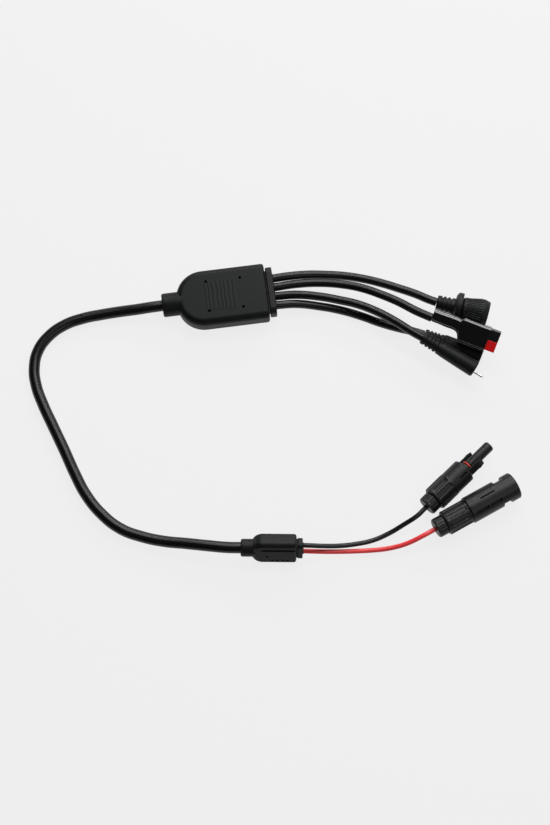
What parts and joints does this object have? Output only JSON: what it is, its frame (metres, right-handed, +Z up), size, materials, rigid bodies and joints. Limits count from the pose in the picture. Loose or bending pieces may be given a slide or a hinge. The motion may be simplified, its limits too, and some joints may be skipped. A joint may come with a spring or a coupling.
{
  "type": "solar cable connector",
  "caption": "Solar adapter lead: two panel connectors meet in a Y splitter, and one round cable feeds a flat splitter whose short leads end in different DC plugs.",
  "frame": {"origin": "centre of the underside of the four-way splitter, on the surface that the lead lies on", "axes": "+X along the four-way splitter towards its four outlets, +Z up, +Y to its left"},
  "size_m": [0.3553, 0.2297, 0.0297],
  "materials": {
    "moulded_black": "fine matte moulded PVC and nylon",
    "cable_jacket": "semi-gloss extruded jacket",
    "red_jacket": "satin extruded jacket",
    "shrink_sleeve": "glossy shrunk sleeve",
    "housing_black": "satin moulded housing",
    "housing_red": "satin moulded housing",
    "seal_red": "satin silicone",
    "seal_grey": "matte silicone",
    "clamp_nylon": "matte nylon",
    "tinned_copper": "satin tin plate",
    "nickel": "bright nickel plate",
    "spring_steel": "brushed spring steel"
  },
  "bodies": {
    "lead": {"main_splitter_overmould": "moulded_black", "main_splitter_core": "moulded_black", "main_positive_splice": "tinned_copper", "main_negative_splice": "tinned_copper", "y_splitter_overmould": "moulded_black", "y_splitter_core": "moulded_black", "y_negative_splice": "tinned_copper", "y_positive_splice": "tinned_copper", "main_cable": "cable_jacket", "outlet_cable_1": "cable_jacket", "outlet_cable_2": "cable_jacket", "outlet_cable_3": "cable_jacket", "outlet_cable_4": "cable_jacket", "negative_wire": "cable_jacket", "positive_wire": "red_jacket", "socket_housing": "moulded_black", "socket_o_ring": "seal_red", "socket_contact": "tinned_copper", "socket_cable_seal": "seal_grey", "pin_housing": "moulded_black", "pin_contact": "tinned_copper", "pin_cable_seal": "seal_grey", "round_plug_boot": "moulded_black", "round_plug_insert": "housing_black", "round_plug_contact_a": "nickel", "round_plug_contact_b": "nickel", "pair_sleeve": "shrink_sleeve", "pair_black_housing": "housing_black", "pair_red_housing": "housing_red", "pair_negative_contact": "tinned_copper", "pair_positive_contact": "tinned_copper", "pair_negative_leaf_spring": "spring_steel", "pair_positive_leaf_spring": "spring_steel", "slim_plug_body": "moulded_black", "slim_plug_pin": "nickel", "slim_plug_socket": "nickel", "barrel_jack_body": "moulded_black", "barrel_jack_sleeve": "nickel", "barrel_jack_centre_pin": "nickel"},
    "socket_finger_a": {"socket_latch_a": "moulded_black"},
    "socket_finger_b": {"socket_latch_b": "moulded_black"},
    "socket_cage": {"socket_clamp_cage": "clamp_nylon"},
    "socket_nut": {"socket_gland_nut": "moulded_black"},
    "pin_cage": {"pin_clamp_cage": "clamp_nylon"},
    "pin_nut": {"pin_gland_nut": "moulded_black"},
    "coupling_nut": {"round_plug_coupling_nut": "moulded_black"}
  },
  "joints": [
    {"name": "socket_nut_travel", "type": "slide", "parent": "lead", "child": "socket_cage", "axis": [-0.8039, -0.5948, 0], "range_m": [0, 0.005]},
    {"name": "socket_nut_turn", "type": "hinge", "parent": "socket_cage", "child": "socket_nut", "pos_m": [0.1315, -0.18, 0.0096], "axis": [-0.8039, -0.5948, 0], "range_deg": [0, 901]},
    {"name": "pin_nut_travel", "type": "slide", "parent": "lead", "child": "pin_cage", "axis": [-0.9298, -0.3681, 0], "range_m": [0, 0.005]},
    {"name": "pin_nut_turn", "type": "hinge", "parent": "pin_cage", "child": "pin_nut", "pos_m": [0.1354, -0.1971, 0.0103], "axis": [-0.9298, -0.3681, 0], "range_deg": [0, 901]},
    {"name": "socket_finger_a_flex", "type": "hinge", "parent": "lead", "child": "socket_finger_a", "pos_m": [0.15824, -0.16571, 0.01402], "axis": [-0.4206, 0.5684, 0.7071], "range_deg": [0, 1.5], "stiffness_Nm_per_rad": 0.2},
    {"name": "socket_finger_b_flex", "type": "hinge", "parent": "lead", "child": "socket_finger_b", "pos_m": [0.15299, -0.1586, 0.00518], "axis": [0.4206, -0.5684, -0.7071], "range_deg": [0, 1.5], "stiffness_Nm_per_rad": 0.2},
    {"name": "coupling_nut_turn", "type": "hinge", "parent": "lead", "child": "coupling_nut", "pos_m": [0.1641, -0.0255, 0.0117], "axis": [0.9245, -0.3811, 0], "continuous": true}
  ],
  "couplings": [
    {"joint": "socket_nut_turn", "follows": "socket_nut_travel", "rad_per_m": 3141.6},
    {"joint": "pin_nut_turn", "follows": "pin_nut_travel", "rad_per_m": 3141.6}
  ]
}
